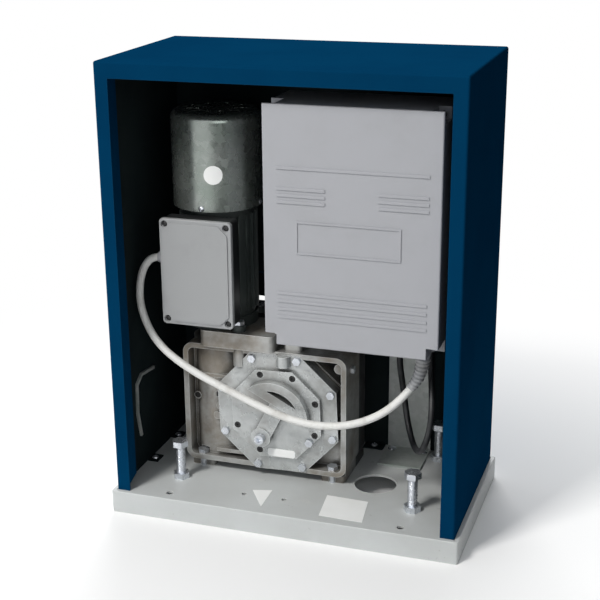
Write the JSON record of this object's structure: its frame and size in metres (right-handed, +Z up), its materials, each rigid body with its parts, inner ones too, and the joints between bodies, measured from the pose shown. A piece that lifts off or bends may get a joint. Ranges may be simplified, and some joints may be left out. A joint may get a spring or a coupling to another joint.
{
  "type": "sliding gate motor",
  "caption": "Sliding gate motor: open-fronted steel cabinet with a worm gear motor, control box, levelling bolts and a toothed pinion behind a guard that drives the gate's rack.",
  "frame": {"origin": "middle of the whole footprint, at the underside of the base tray's skirt", "axes": "+Z up, +Y towards the gate (the pinion side), +X to the right as seen from the open service side"},
  "size_m": [0.462, 0.306, 0.59],
  "materials": {
    "base_paint": "light warm grey powder coat",
    "bearing_steel": "ground and polished",
    "black_plastic": "black moulded plastic",
    "board_green": "green solder mask",
    "box_plastic": "light grey moulded plastic, fine grain",
    "bronze": "cast bronze",
    "cabinet_paint": "deep petrol blue powder coat, semi-gloss",
    "cable_black": "black sheath",
    "cable_pale": "pale grey sheath",
    "cast_aluminium": "raw pressure-cast, matt",
    "copper": "varnished copper wire",
    "galvanised_sheet": "zinc-coated sheet",
    "gear_steel": "machined steel, lightly oiled",
    "motor_paint": "dark grey enamel",
    "seal_rubber": "black nitrile rubber",
    "zinc_fastener": "bright zinc plate"
  },
  "bodies": {
    "base": {"base_plate": "base_paint", "bearing_cap": "cast_aluminium", "board_parts": "black_plastic", "board_standoffs": "zinc_fastener", "bracket_screws": "zinc_fastener", "cabinet_cover": "cabinet_paint", "cap_screws": "zinc_fastener", "control_board": "board_green", "control_box": "box_plastic", "control_bracket": "galvanised_sheet", "control_cable": "cable_black", "control_glands": "box_plastic", "control_lid": "box_plastic", "control_lid_screws": "zinc_fastener", "cover_bolts": "zinc_fastener", "fan_cowl": "galvanised_sheet", "filler_plug": "zinc_fastener", "foot_bolts": "zinc_fastener", "gearbox_cover": "cast_aluminium", "gearbox_housing": "cast_aluminium", "levelling_bolts": "zinc_fastener", "levelling_nuts": "zinc_fastener", "lever_screw": "zinc_fastener", "limit_pin": "zinc_fastener", "limit_shelf": "galvanised_sheet", "limit_switches": "black_plastic", "lower_shield": "motor_paint", "machine_screws": "zinc_fastener", "motor_bolts": "zinc_fastener", "motor_cable": "cable_pale", "motor_frame": "motor_paint", "motor_neck": "cast_aluminium", "pinion_guard": "cabinet_paint", "rear_hatch": "cabinet_paint", "rotor_bearings": "bearing_steel", "run_capacitor": "galvanised_sheet", "shaft_bearings": "bearing_steel", "shaft_seal": "seal_rubber", "sheet_screws": "zinc_fastener", "stator_core": "gear_steel", "stator_windings": "copper", "terminal_block": "black_plastic", "terminal_box": "black_plastic", "terminal_gland": "box_plastic", "terminal_lid": "box_plastic", "terminal_lid_screws": "zinc_fastener", "upper_shield": "motor_paint", "wall_strip": "galvanised_sheet"},
    "output": {"output_shaft": "gear_steel", "worm_wheel": "bronze", "drive_pinion": "gear_steel", "pinion_key": "gear_steel", "pinion_retainer": "zinc_fastener"},
    "rotor": {"worm_shaft": "gear_steel", "rotor_core": "gear_steel", "cooling_fan": "black_plastic"},
    "limit_lever": {"limit_lever": "zinc_fastener", "lever_nut": "zinc_fastener"},
    "release_lever": {"release_lever": "cast_aluminium"}
  },
  "joints": [
    {"name": "rotor_spin", "type": "hinge", "parent": "base", "child": "rotor", "pos_m": [-0.128, -0.004, 0.2], "axis": [0, 0, 1], "continuous": true},
    {"name": "output_turn", "type": "hinge", "parent": "base", "child": "output", "pos_m": [-0.034, -0.026, 0.124], "axis": [0, 1, 0], "continuous": true},
    {"name": "limit_lever_swing", "type": "hinge", "parent": "base", "child": "limit_lever", "pos_m": [-0.0365, 0.069, 0.225], "axis": [0, 0, 1], "range_deg": [-40, 40], "stiffness_Nm_per_rad": 0.05},
    {"name": "release_lever_turn", "type": "hinge", "parent": "base", "child": "release_lever", "pos_m": [-0.052, -0.063, 0.093], "axis": [0, -1, 0], "range_deg": [0, 90]}
  ],
  "couplings": [
    {"joint": "output_turn", "follows": "rotor_spin", "ratio": -0.025}
  ]
}
